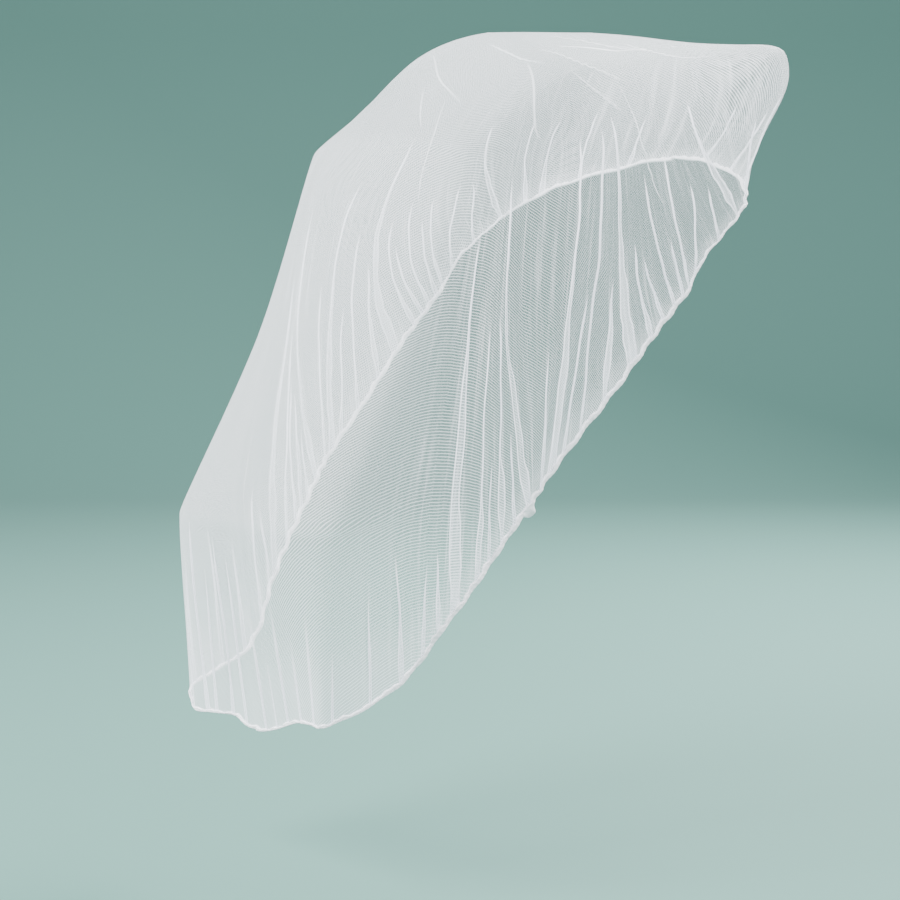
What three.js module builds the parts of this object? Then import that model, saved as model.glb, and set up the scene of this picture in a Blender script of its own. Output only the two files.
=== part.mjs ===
import * as THREE from "three";

// A hanging insect net with an elastic edge: one soft sheet with an arched top, a sloping front
// and a pocket at the back, pulled in by a narrow binding all round its open underside.
// Sizes are in mm. X runs across, the front faces -Y, Z is up. The tables measure y and z from
// a point on the ground, and `HOLD` is the place in them of the origin: the point under the top
// that the net hangs from.
const HOLD = { y: 350, z: 1040 };

const CLOTH = 1.2;            // thickness of the sheet
const HEM_LAP = 7.0;          // how far the binding reaches up over the sheet's edge
const BINDING_WALL = 1.3;     // thickness of each side of the binding
const BINDING_GAP = 0.75;     // room between the sheet and the binding
const SLOT_OUTER = 6;         // the corner of the binding's section where its outer slot face starts
const BINDING_END = 1.6;      // thickness of the binding below the sheet's edge
const BINDING_ROUND = { outer: 0.72, inner: 0.6 };  // how far its two lower corners are drawn in
const HALF_HEM = 1240;        // length of half the hem
const GATHER_STEP = 42;       // length of one gather along the hem
const GATHER_HEIGHT = 1.7;    // how far a gather stands out at the hem
const GATHER_TURN = 0.9;      // how far the two sides' gathers are out of step, radians
const GATHER_START = 4.35;    // ring place where the gathers start
const PLAIN_STEP = 0.0150;    // spacing of the columns between folds, share of half the hem

// Slow waves round the sheet: height in mm, waves over half the hem in radians, and the phase of
// the wave with what the side adds to it. They grow from ring 2.2 to the hem, and fade out
// towards the taut front between s = 0.1 and 0.2.
const SWELLS = [
  { height: 1.6, rate: 23, phase: 0, turn: 1.3 },
  { height: 1.1, rate: 41, phase: 2.1, turn: 0.6 },
];
const SWELL_RINGS = { from: 2.2, to: 5 };
const SWELL_PLACES = { from: 0.1, to: 0.2 };

// Unevenness of the binding's outer side: height in mm, and radians for each column.
const PUCKERS = [
  { height: 0.35, rate: 2.4, phase: 0 },
  { height: 0.25, rate: 1.1, phase: 0.7 },
];

// Half of the sheet, from the middle of the front (s = 0) round to the middle of the back
// (s = 1). Each row is one line of the cloth from the top to the hem: `top` is [y, z] at the
// middle, the others are [x, y, z]; `rim` lies on the front arch or the shoulder, `knee` on
// the bend low on the front, or low on the side.
const LINES = [
  { s: 0.00, top: [348, 1043], crown: [0, 246, 972], rim: [0, 144, 898], waist: [0, 44, 655], knee: [0, -75, 431], hem: [0, -36, 173] },
  { s: 0.065, top: [348, 1043], crown: [46, 250, 971], rim: [78, 147, 895], waist: [80, 48, 655], knee: [86, -73, 431], hem: [92, -42, 200] },
  { s: 0.115, top: [348, 1043], crown: [80, 262, 970], rim: [133, 164, 886], waist: [138, 74, 655], knee: [150, -42, 431], hem: [140, -36, 204] },
  { s: 0.17, top: [348, 1043], crown: [96, 278, 974], rim: [156, 180, 878], waist: [162, 110, 655], knee: [170, 44, 440], hem: [151, 62, 238] },
  { s: 0.25, top: [349, 1043], crown: [112, 298, 982], rim: [173, 201, 866], waist: [181, 154, 650], knee: [184, 124, 450], hem: [178, 116, 312] },
  { s: 0.40, top: [352, 1043], crown: [122, 326, 992], rim: [190, 236, 857], waist: [210, 203, 700], knee: [213, 208, 560], hem: [208, 220, 441] },
  { s: 0.47, top: [362, 1044], crown: [120, 352, 1002], rim: [196, 318, 894], waist: [226, 284, 790], knee: [229, 262, 640], hem: [213, 254, 482] },
  { s: 0.60, top: [410, 1048], crown: [118, 402, 1006], rim: [186, 392, 925], waist: [233, 358, 790], knee: [237, 358, 700], hem: [228, 384, 613] },
  { s: 0.72, top: [510, 1055], crown: [116, 484, 1008], rim: [180, 454, 930], waist: [225, 438, 830], knee: [239, 452, 760], hem: [236, 482, 706] },
  { s: 0.75, top: [540, 1057], crown: [114, 512, 1012], rim: [181, 480, 936], waist: [221, 466, 848], knee: [236, 480, 786], hem: [235, 508, 744] },
  { s: 0.83, top: [630, 1058], crown: [110, 600, 1026], rim: [182, 556, 960], waist: [206, 550, 905], knee: [222, 566, 852], hem: [229, 590, 806] },
  { s: 0.88, top: [728, 1053], crown: [110, 718, 1045], rim: [192, 700, 1028], waist: [210, 688, 984], knee: [211, 646, 912], hem: [205, 628, 832] },
  { s: 0.93, top: [740, 1052], crown: [90, 748, 1045], rim: [158, 752, 1028], waist: [174, 742, 985], knee: [172, 704, 925], hem: [154, 666, 862] },
  { s: 1.00, top: [743, 1052], crown: [0, 760, 1049], rim: [0, 772, 1034], waist: [0, 774, 990], knee: [0, 752, 935], hem: [0, 718, 890] },
];

// Where the -X side hangs otherwise: [x, y, z] added to the +X side's ring, eased along s
// between the rows named by `s`.
const FAR_SHIFTS = [
  { ring: "crown", s: 0.19, reach: 0.13, by: [-6, 10, 16] },
  { ring: "crown", s: 0.36, reach: 0.2, by: [0, -6, 16] },
  { ring: "hem", s: 0.075, reach: 0.05, by: [0, -6, -22] },
];

// How straight the cloth is drawn into each ring: 0 is a round curve, 1 a plain corner.
const CRISP = { front: { rim: 0.78, waist: 0.0, knee: 0.8 }, side: { rim: 0.1, waist: 0.0, knee: 0.05 } };
const FRONT_END = 0.13;       // s where the taut front turns into the side
const SIDE_START = 0.24;

// Where the cloth leaves the top: level on both sides of the arch, and straight to the side
// further back. Each eases in and out again between these places s.
const TOP_LEVEL = { from: 0.05, full: 0.3, until: 0.93, end: 1, share: 0.85 };
const TOP_STRAIGHT = { from: 0.45, full: 0.62, until: 0.9, end: 1, share: 1 };

// The standing folds, a row for each place: `from` is the ring where it starts (1 crown,
// 2 rim, 3 waist, 4 knee), `wide` and `high` are its size at the hem on the +X side, and the
// `far` columns are for the -X side, where it also wanders by `stray` of s.
const FOLDS = [
  { s: 0.032, from: 4.2, wide: 5, high: 2.0, farWide: 6, farHigh: 2.8, stray: 0.004 },
  { s: 0.078, from: 4.1, wide: 6, high: 2.2, farWide: 7, farHigh: 3.2, stray: -0.003 },
  { s: 0.172, from: 3.9, wide: 9, high: 4.2, farWide: 7, farHigh: 3.0, stray: 0.006 },
  { s: 0.210, from: 4.0, wide: 7, high: 3.2, farWide: 9, farHigh: 3.6, stray: -0.008 },
  { s: 0.258, from: 2.1, wide: 14, high: 6.0, farWide: 11, farHigh: 4.6, stray: -0.012 },
  { s: 0.312, from: 3.3, wide: 11, high: 5.0, farWide: 13, farHigh: 5.4, stray: 0.007 },
  { s: 0.355, from: 3.1, wide: 10, high: 4.4, farWide: 8, farHigh: 3.6, stray: 0.010 },
  { s: 0.400, from: 2.0, wide: 16, high: 6.4, farWide: 15, farHigh: 5.8, stray: -0.010 },
  { s: 0.472, from: 2.0, wide: 11, high: 5.2, farWide: 13, farHigh: 5.6, stray: 0.012 },
  { s: 0.545, from: 2.9, wide: 12, high: 5.0, farWide: 9, farHigh: 3.8, stray: -0.009 },
  { s: 0.610, from: 1.7, wide: 15, high: 6.2, farWide: 14, farHigh: 6.0, stray: 0.010 },
  { s: 0.668, from: 3.2, wide: 9, high: 4.0, farWide: 12, farHigh: 4.6, stray: -0.008 },
  { s: 0.722, from: 1.6, wide: 12, high: 4.8, farWide: 10, farHigh: 4.2, stray: 0.007 },
  { s: 0.826, from: 1.9, wide: 9, high: 3.8, farWide: 8, farHigh: 3.2, stray: 0.005 },
  { s: 0.905, from: 3.4, wide: 9, high: 3.6, farWide: 10, farHigh: 4.0, stray: -0.005 },
  { s: 0.955, from: 3.2, wide: 10, high: 4.0, farWide: 8, farHigh: 3.4, stray: 0.006 },
];
const FOLD_ROOM = 0.012;      // half the width kept free for one fold, share of half the hem
const FOLD_TOP_WIDTH = 0.18;  // a fold's width where it starts, share of its width at the hem
const FOLD_PRESSED = 0.03;    // a fold's height inside the binding, share of its full height
const FOLD_LEAN = 0.55;       // sideways lean of a fold, share of its height
const FOLD_PRESS_START = 4.5; // ring place where a fold starts to be pressed flat
const STRAY_REACH = 0.03;     // how far along s a fold's wandering carries the cloth beside it
const FOLD_PROFILE = [        // across a fold: place (share of the half width), height share
  { at: -1.0, rise: 0.0 },
  { at: -0.4, rise: 0.62 },
  { at: 0.12, rise: 1.0 },
  { at: 0.5, rise: 0.48 },
  { at: 1.0, rise: 0.0 },
];

// Rings from the top to the hem, and the steps of the sheet between them.
const RINGS = ["top", "crown", "rim", "waist", "knee", "hem"];
const LAST_STEP = 4.5;        // the lowest step above the binding
const STEPS = [0, 0.5, 1, 1.5, 1.9, 2.1, 3, 3.8, 4.05, LAST_STEP];
const TINY = { s: 0.004, t: 0.03, top: 0.05 };  // steps used to measure directions

const clamp = (value, low, high) => Math.min(high, Math.max(low, value));
const smooth = (low, high, value) => {
  const part = clamp((value - low) / (high - low), 0, 1);
  return part * part * (3 - 2 * part);
};

/** Cubic from a to b with the given slopes, at the share `part` of the span. */
function hermite(a, b, slopeA, slopeB, span, part) {
  const square = part * part, cube = square * part;
  return (2 * cube - 3 * square + 1) * a + (cube - 2 * square + part) * span * slopeA
    + (3 * square - 2 * cube) * b + (cube - square) * span * slopeB;
}

/** What the -X side adds to a ring at place s. */
function farShift(ring, s) {
  const total = [0, 0, 0];
  for (const row of FAR_SHIFTS) {
    if (row.ring !== ring) continue;
    const share = 1 - smooth(0, row.reach, Math.abs(s - row.s));
    for (let k = 0; k < 3; k += 1) total[k] += row.by[k] * share;
  }
  return total;
}

/** Point [x, y, z] of one ring at place s, mirrored evenly past both ends. */
function ringPoint(ring, s, side) {
  const point = (row) => (ring === "top" ? [0, ...row.top] : row[ring]);
  const extra = side < 0 ? farShift(ring, s) : [0, 0, 0];
  const last = LINES.length - 1;
  const at = (index) => {
    if (index < 0) return { s: -LINES[-index].s, p: mirror(point(LINES[-index])) };
    if (index > last) {
      const twin = LINES[2 * last - index];
      return { s: 2 - twin.s, p: mirror(point(twin)) };
    }
    return { s: LINES[index].s, p: point(LINES[index]) };
  };
  let index = 0;
  while (index < last - 1 && LINES[index + 1].s < s) index += 1;
  const [before, a, b, after] = [at(index - 1), at(index), at(index + 1), at(index + 2)];
  const part = (s - a.s) / (b.s - a.s);
  return [0, 1, 2].map((k) => {
    const slopeA = (b.p[k] - before.p[k]) / (b.s - before.s);
    const slopeB = (after.p[k] - a.p[k]) / (after.s - a.s);
    return hermite(a.p[k], b.p[k], slopeA, slopeB, b.s - a.s, part) + extra[k];
  });
}

const mirror = (p) => [-p[0], p[1], p[2]];

/** Point of the smooth sheet at s (0 to 1) and t (0 top to 5 hem), with x outward. */
function sheetPoint(s, t, side) {
  const here = Math.abs(s) > 1 ? 2 - Math.abs(s) : Math.abs(s);
  const flip = s < 0 || s > 1;
  const points = RINGS.map((ring) => new THREE.Vector3(...ringPoint(ring, here, side)));
  const index = clamp(Math.floor(t), 0, RINGS.length - 2);
  const slopes = [index, index + 1].map((k) => slopeAt(points, k, here));
  const span = points[index].distanceTo(points[index + 1]);
  const out = ["x", "y", "z"].map((axis) => hermite(
    points[index][axis], points[index + 1][axis], slopes[0][axis], slopes[1][axis], span, t - index));
  return new THREE.Vector3(flip ? -out[0] : out[0], out[1], out[2]);
}

/** A share that eases in between `from` and `full`, and out between `until` and `end`. */
function eased({ from, full, until, end, share }, s) {
  return share * smooth(from, full, s) * (1 - smooth(until, end, s));
}

/** Direction of the cloth line through ring k, shortened where it is drawn to a corner. */
function slopeAt(points, k, s) {
  const side = smooth(FRONT_END, SIDE_START, s);
  const name = RINGS[k];
  const crisp = name in CRISP.front
    ? CRISP.front[name] * (1 - side) + CRISP.side[name] * side : 0;
  const low = points[Math.max(k - 1, 0)], high = points[Math.min(k + 1, points.length - 1)];
  const reach = (k > 0 ? points[k].distanceTo(points[k - 1]) : 0)
    + (k < points.length - 1 ? points[k].distanceTo(points[k + 1]) : 0);
  const slope = high.clone().sub(low).divideScalar(reach);
  if (k === 0) {
    slope.set(slope.x, slope.y * (1 - eased(TOP_STRAIGHT, s)), slope.z * (1 - eased(TOP_LEVEL, s)));
  }
  return slope.multiplyScalar(1 - crisp);
}

/** Unit normal pointing out of the smooth sheet, and mm along the hem for one unit of s. */
function frameAt(s, t, side) {
  const place = Math.max(t, TINY.top);
  const across = sheetPoint(s + TINY.s, place, side).sub(sheetPoint(s - TINY.s, place, side));
  const down = sheetPoint(s, Math.min(place + TINY.t, 5), side).sub(sheetPoint(s, place - TINY.t, side));
  const stretch = across.length() / (2 * TINY.s);
  const normal = across.normalize().clone().cross(down.normalize()).normalize();
  return { normal: normal.negate(), across, stretch };
}

/** Slow unevenness and the gathers that the elastic makes, in mm out of the sheet. */
function billow(s, t, side) {
  let swell = 0;
  for (const { height, rate, phase, turn } of SWELLS) swell += height * Math.sin(rate * s + phase + turn * side);
  const fade = smooth(SWELL_RINGS.from, SWELL_RINGS.to, t) * smooth(SWELL_PLACES.from, SWELL_PLACES.to, s);
  const gather = Math.sin((2 * Math.PI * HALF_HEM * s) / GATHER_STEP + GATHER_TURN * side);
  return swell * fade + GATHER_HEIGHT * gather * smooth(GATHER_START, 5, t);
}

/** Columns of the half sheet: plain ones between the folds, five across each fold. */
function makeColumns() {
  const columns = [];
  let from = 0;
  const plain = (low, high) => {
    const count = Math.max(1, Math.round((high - low) / PLAIN_STEP));
    for (let k = 0; k < count; k += 1) columns.push({ s: low + ((high - low) * k) / count });
  };
  for (const fold of FOLDS) {
    plain(from, fold.s - FOLD_ROOM);
    for (const mark of FOLD_PROFILE) columns.push({ s: fold.s, fold, mark });
    from = fold.s + FOLD_ROOM;
  }
  plain(from, 1);
  columns.push({ s: 1 });
  return columns;
}

/** Middle of the sheet's thickness at a column, with its fold, on one side of the net. */
function clothPoint(column, t, side) {
  const { fold, mark } = column;
  const far = side < 0;
  let s = column.s, rise = 0, shift = 0;
  if (fold) {
    const grown = smooth(fold.from, 5, t) * 0.5 + 0.5 * clamp((t - fold.from) / (5 - fold.from), 0, 1);
    const width = (far ? fold.farWide : fold.wide) * (FOLD_TOP_WIDTH + (1 - FOLD_TOP_WIDTH) * grown);
    const pressed = 1 - (1 - FOLD_PRESSED) * smooth(FOLD_PRESS_START, 5, t);
    rise = (far ? fold.farHigh : fold.high) * grown * pressed * mark.rise;
    shift = (mark.at * width) / 2 + FOLD_LEAN * rise;
  }
  const stray = far ? strayAt(column.s) * smooth(0.5, 5, t) : 0;
  s += stray;
  const frame = frameAt(s, t, side);
  const slide = clamp(shift / Math.max(frame.stretch, 1), -0.85 * FOLD_ROOM, 0.85 * FOLD_ROOM);
  s += slide * smooth(0, 0.6, t);
  const point = sheetPoint(s, t, side);
  point.addScaledVector(frame.normal, rise * smooth(0, 0.6, t) + billow(s, t, side));
  if (side < 0) point.x = -point.x;
  return point;
}

/** Sideways wandering of the cloth lines on the -X side, eased between the folds. */
function strayAt(s) {
  let total = 0;
  for (const fold of FOLDS) {
    const away = (s - fold.s) / STRAY_REACH;
    total += fold.stray * Math.exp(-away * away);
  }
  return total * smooth(0, 0.02, s) * smooth(0, 0.02, 1 - s);
}

/** Rings of points from the top to the hem, going round from the front over +X to the back. */
function makeGrid() {
  const half = makeColumns();
  const steps = [...STEPS, null, 5];
  const around = [
    ...half.map((column) => ({ column, side: 1 })),
    ...half.slice(1, -1).reverse().map((column) => ({ column, side: -1 })),
  ];
  const hem = around.map(({ column, side }) => clothPoint(column, 5, side));
  return steps.map((t) => around.map(({ column, side }, i) => {
    if (t === 5) return hem[i];
    if (t !== null) return clothPoint(column, t, side);
    const low = clothPoint(column, LAST_STEP, side);
    const slant = Math.sin(low.clone().sub(hem[i]).angleTo(hemDirection(hem, i)));
    return hem[i].clone().lerp(low, HEM_LAP / Math.max(slant, 0.5) / hem[i].distanceTo(low));
  }));
}

/** Unit direction of a closed hem line at its point i. */
function hemDirection(line, i) {
  const count = line.length;
  return line[(i + 1) % count].clone().sub(line[(i + count - 1) % count]).normalize();
}

/** Joins points that fall together and gives the triangles of the middle surface. */
function makeSurface(grid) {
  const points = [], index = new Map();
  const id = grid.map((ring) => ring.map((point) => {
    const key = [point.x, point.y, point.z].map((value) => value.toFixed(4)).join(",");
    if (!index.has(key)) {
      index.set(key, points.length);
      points.push(point);
    }
    return index.get(key);
  }));
  const triangles = [];
  const add = (a, b, c) => {
    if (a !== b && b !== c && a !== c) triangles.push([a, b, c]);
  };
  const count = grid[0].length;
  for (let j = 0; j < grid.length - 1; j += 1) {
    for (let i = 0; i < count; i += 1) {
      const next = (i + 1) % count;
      add(id[j][i], id[j + 1][i], id[j + 1][next]);
      add(id[j][i], id[j + 1][next], id[j][next]);
    }
  }
  return { points, triangles, id };
}

/** Unit normals of the middle surface, weighted by the corner angle of each triangle. */
function surfaceNormals({ points, triangles }) {
  const normals = points.map(() => new THREE.Vector3());
  for (const corners of triangles) {
    const [a, b, c] = corners.map((k) => points[k]);
    const face = b.clone().sub(a).cross(c.clone().sub(a)).normalize();
    corners.forEach((k, place) => {
      const one = points[corners[(place + 1) % 3]].clone().sub(points[k]);
      const two = points[corners[(place + 2) % 3]].clone().sub(points[k]);
      normals[k].addScaledVector(face, one.angleTo(two));
    });
  }
  return normals.map((normal) => normal.normalize());
}

/** The sheet as a closed body: outer and inner faces joined round the hem. */
function makeSheet(surface, normals) {
  const { points, triangles, id } = surface;
  const count = points.length;
  const outer = points.map((p, k) => p.clone().addScaledVector(normals[k], CLOTH / 2));
  const inner = points.map((p, k) => p.clone().addScaledVector(normals[k], -CLOTH / 2));
  const faces = [];
  for (const [a, b, c] of triangles) faces.push([a, b, c], [a + count, c + count, b + count]);
  const hem = id[id.length - 1];
  for (let i = 0; i < hem.length; i += 1) {
    const a = hem[i], b = hem[(i + 1) % hem.length];
    faces.push([a, a + count, b + count], [a, b + count, b]);
  }
  return toGeometry([...outer, ...inner], faces);
}

/** The binding: a narrow folded tape that takes the sheet's edge between its two sides. */
function makeBinding({ points, triangles, id }) {
  const hem = id[id.length - 1], above = id[id.length - 2];
  const lapped = new Set([...hem, ...above]);
  const edge = triangles.filter((corners) => corners.every((k) => lapped.has(k)));
  const normals = surfaceNormals({ points, triangles: edge });
  const slot = CLOTH / 2 + BINDING_GAP;
  const line = hem.map((k) => points[k]);
  const rings = hem.map((k, i) => {
    const top = above[i];
    const down = hemDirection(line, i).cross(normals[k]).normalize();
    if (down.dot(points[top].clone().sub(points[k])) > 0) down.negate();
    let wall = slot + BINDING_WALL;
    for (const { height, rate, phase } of PUCKERS) wall += height * Math.sin(i * rate + phase);
    const end = points[k].clone().addScaledVector(down, BINDING_GAP);
    const tip = points[k].clone().addScaledVector(down, BINDING_GAP + BINDING_END);
    const place = (base, normal, distance) => base.clone().addScaledVector(normal, distance);
    return [
      place(points[top], normals[top], wall), place(tip, normals[k], wall * BINDING_ROUND.outer),
      place(tip, normals[k], -slot - BINDING_WALL * BINDING_ROUND.inner),
      place(points[top], normals[top], -slot - BINDING_WALL),
      place(points[top], normals[top], -slot), place(end, normals[k], -slot),
      place(end, normals[k], slot), place(points[top], normals[top], slot),
    ];
  });
  const corners = rings[0].length, faces = [];
  for (let i = 0; i < rings.length; i += 1) {
    const next = (i + 1) % rings.length;
    for (let c = 0; c < corners; c += 1) {
      const d = (c + 1) % corners;
      const [a, b, e, f] = [i * corners + c, i * corners + d, next * corners + d, next * corners + c];
      // The outer side of the slot is split along the other diagonal, to bend like the sheet.
      if (c === SLOT_OUTER) faces.push([a, b, f], [b, e, f]);
      else faces.push([a, b, e], [a, e, f]);
    }
  }
  return toGeometry(rings.flat(), faces);
}

/** Closed body from points and faces, moved to the holding point. */
function toGeometry(points, faces) {
  const geometry = new THREE.BufferGeometry();
  const flat = points.flatMap((p) => [p.x, p.y - HOLD.y, p.z - HOLD.z]);
  geometry.setAttribute("position", new THREE.Float32BufferAttribute(flat, 3));
  geometry.setIndex(faces.flat());
  geometry.computeVertexNormals();
  return geometry;
}

/** One named piece with its colour. */
function piece(name, geometry, color, roughness) {
  const mesh = new THREE.Mesh(geometry, new THREE.MeshStandardMaterial({ color, roughness, metalness: 0 }));
  mesh.name = name;
  return mesh;
}

/** The whole net: the sheet and the elastic binding round its hem. */
function makeNet() {
  const surface = makeSurface(makeGrid());
  const normals = surfaceNormals(surface);
  const net = new THREE.Group();
  net.name = "hooded_net";
  net.add(piece("net", makeSheet(surface, normals), 0xe9eaef, 0.85));
  net.add(piece("elastic_binding", makeBinding(surface), 0xf4f4f6, 0.8));
  return net;
}

export default makeNet();
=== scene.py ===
"""Fine white insect net with a gathered elastic edge, in the shape in which it hangs."""

from __future__ import annotations

import logging
import math
from dataclasses import dataclass, field
from enum import Enum

import bmesh
import bpy
import numpy as np
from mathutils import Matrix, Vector

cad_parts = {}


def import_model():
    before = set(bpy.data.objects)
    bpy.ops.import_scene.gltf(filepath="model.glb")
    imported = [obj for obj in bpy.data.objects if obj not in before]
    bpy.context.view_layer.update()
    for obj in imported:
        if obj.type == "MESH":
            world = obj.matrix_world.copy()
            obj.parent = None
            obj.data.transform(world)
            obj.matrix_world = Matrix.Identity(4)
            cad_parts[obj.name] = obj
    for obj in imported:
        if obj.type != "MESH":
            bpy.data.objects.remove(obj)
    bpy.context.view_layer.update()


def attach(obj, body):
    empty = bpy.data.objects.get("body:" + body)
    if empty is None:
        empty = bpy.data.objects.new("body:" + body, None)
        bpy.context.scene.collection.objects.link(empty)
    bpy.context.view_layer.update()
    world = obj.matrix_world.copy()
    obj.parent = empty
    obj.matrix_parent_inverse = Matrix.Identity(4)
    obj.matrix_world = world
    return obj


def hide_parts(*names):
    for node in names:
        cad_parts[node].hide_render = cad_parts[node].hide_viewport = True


LOG = logging.getLogger("net")
MM = 0.001

# The holding point under the top, measured like the tables: y from the front, z from the ground.
HOLD = np.array([0.0, 350.0, 1040.0])
HALF_HEM = 1240.0  # length of half the hem, mm
CREASE_BANKS = 2  # creases that lie side by side are marked in different banks

Pair = tuple[float, float]
Triple = tuple[float, float, float]
Quad = tuple[float, float, float, float]
Socket = bpy.types.NodeSocket


class Side(Enum):
    """The two halves of the net, named by the sign of their x."""

    NEAR = 1
    FAR = -1


class Ring(Enum):
    """The lines round the net that its shape is given on, from the top down."""

    TOP = 0
    CROWN = 1
    RIM = 2
    WAIST = 3
    KNEE = 4
    HEM = 5


@dataclass(frozen=True)
class ClothLine:
    """One line of the cloth from the middle of the top to the hem, in mm.

    `s` runs from 0 at the middle of the front to 1 at the middle of the back.
    """

    s: float
    top: Pair
    crown: Triple
    rim: Triple
    waist: Triple
    knee: Triple
    hem: Triple

    def points(self) -> np.ndarray:
        """Its six points as rows."""
        return np.array([(0.0, *self.top), self.crown, self.rim, self.waist, self.knee, self.hem])


@dataclass(frozen=True)
class FarShift:
    """What the far side adds to one ring round the place `s`, in mm."""

    ring: Ring
    s: float
    reach: float
    by: Triple


@dataclass(frozen=True)
class Pleat:
    """A flat pleat, with the cloth three deep across it.

    From the ring place `head` it is a narrow ridge, and from `opens` it widens to `width` mm, of
    which the share `foot` is left at the hem. `s` is its place at the hem, `head_s` at its head.
    The `far` values are those of the other side, where it also stands a little elsewhere.
    """

    s: float
    head_s: float
    head: float
    opens: float
    width: float
    foot: float
    far_head: float
    far_width: float


@dataclass(frozen=True)
class Crease:
    """A soft ridge drawn up by tension between two places (s, t), in mm wide and high."""

    begin: Pair
    end: Pair
    width: float
    height: float
    side: Side = Side.NEAR


LINES = (
    ClothLine(0.00, (348, 1043), (0, 246, 972), (0, 144, 898), (0, 44, 655), (0, -75, 431),
              (0, -36, 173)),
    ClothLine(0.065, (348, 1043), (46, 250, 971), (78, 147, 895), (80, 48, 655), (86, -73, 431),
              (92, -42, 200)),
    ClothLine(0.115, (348, 1043), (80, 262, 970), (133, 164, 886), (138, 74, 655), (150, -42, 431),
              (140, -36, 204)),
    ClothLine(0.17, (348, 1043), (96, 278, 974), (156, 180, 878), (162, 110, 655), (170, 44, 440),
              (151, 62, 238)),
    ClothLine(0.25, (349, 1043), (112, 298, 982), (173, 201, 866), (181, 154, 650), (184, 124, 450),
              (178, 116, 312)),
    ClothLine(0.40, (352, 1043), (122, 326, 992), (190, 236, 857), (210, 203, 700), (213, 208, 560),
              (208, 220, 441)),
    ClothLine(0.47, (362, 1044), (120, 352, 1002), (196, 318, 894), (226, 284, 790), (229, 262, 640),
              (213, 254, 482)),
    ClothLine(0.60, (410, 1048), (118, 402, 1006), (186, 392, 925), (233, 358, 790), (237, 358, 700),
              (228, 384, 613)),
    ClothLine(0.72, (510, 1055), (116, 484, 1008), (180, 454, 930), (225, 438, 830), (239, 452, 760),
              (236, 482, 706)),
    ClothLine(0.75, (540, 1057), (114, 512, 1012), (181, 480, 936), (221, 466, 848), (236, 480, 786),
              (235, 508, 744)),
    ClothLine(0.83, (630, 1058), (110, 600, 1026), (182, 556, 960), (206, 550, 905), (222, 566, 852),
              (229, 590, 806)),
    ClothLine(0.88, (728, 1053), (110, 718, 1045), (192, 700, 1028), (210, 688, 984), (211, 646, 912),
              (205, 628, 832)),
    ClothLine(0.93, (740, 1052), (90, 748, 1045), (158, 752, 1028), (174, 742, 985), (172, 704, 925),
              (154, 666, 862)),
    ClothLine(1.00, (743, 1052), (0, 760, 1049), (0, 772, 1034), (0, 774, 990), (0, 752, 935),
              (0, 718, 890)),
)

FAR_SHIFTS = (
    FarShift(Ring.CROWN, 0.19, 0.13, (-6, 10, 16)),
    FarShift(Ring.CROWN, 0.36, 0.2, (0, -6, 16)),
    FarShift(Ring.HEM, 0.075, 0.05, (0, -6, -22)),
)

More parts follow.
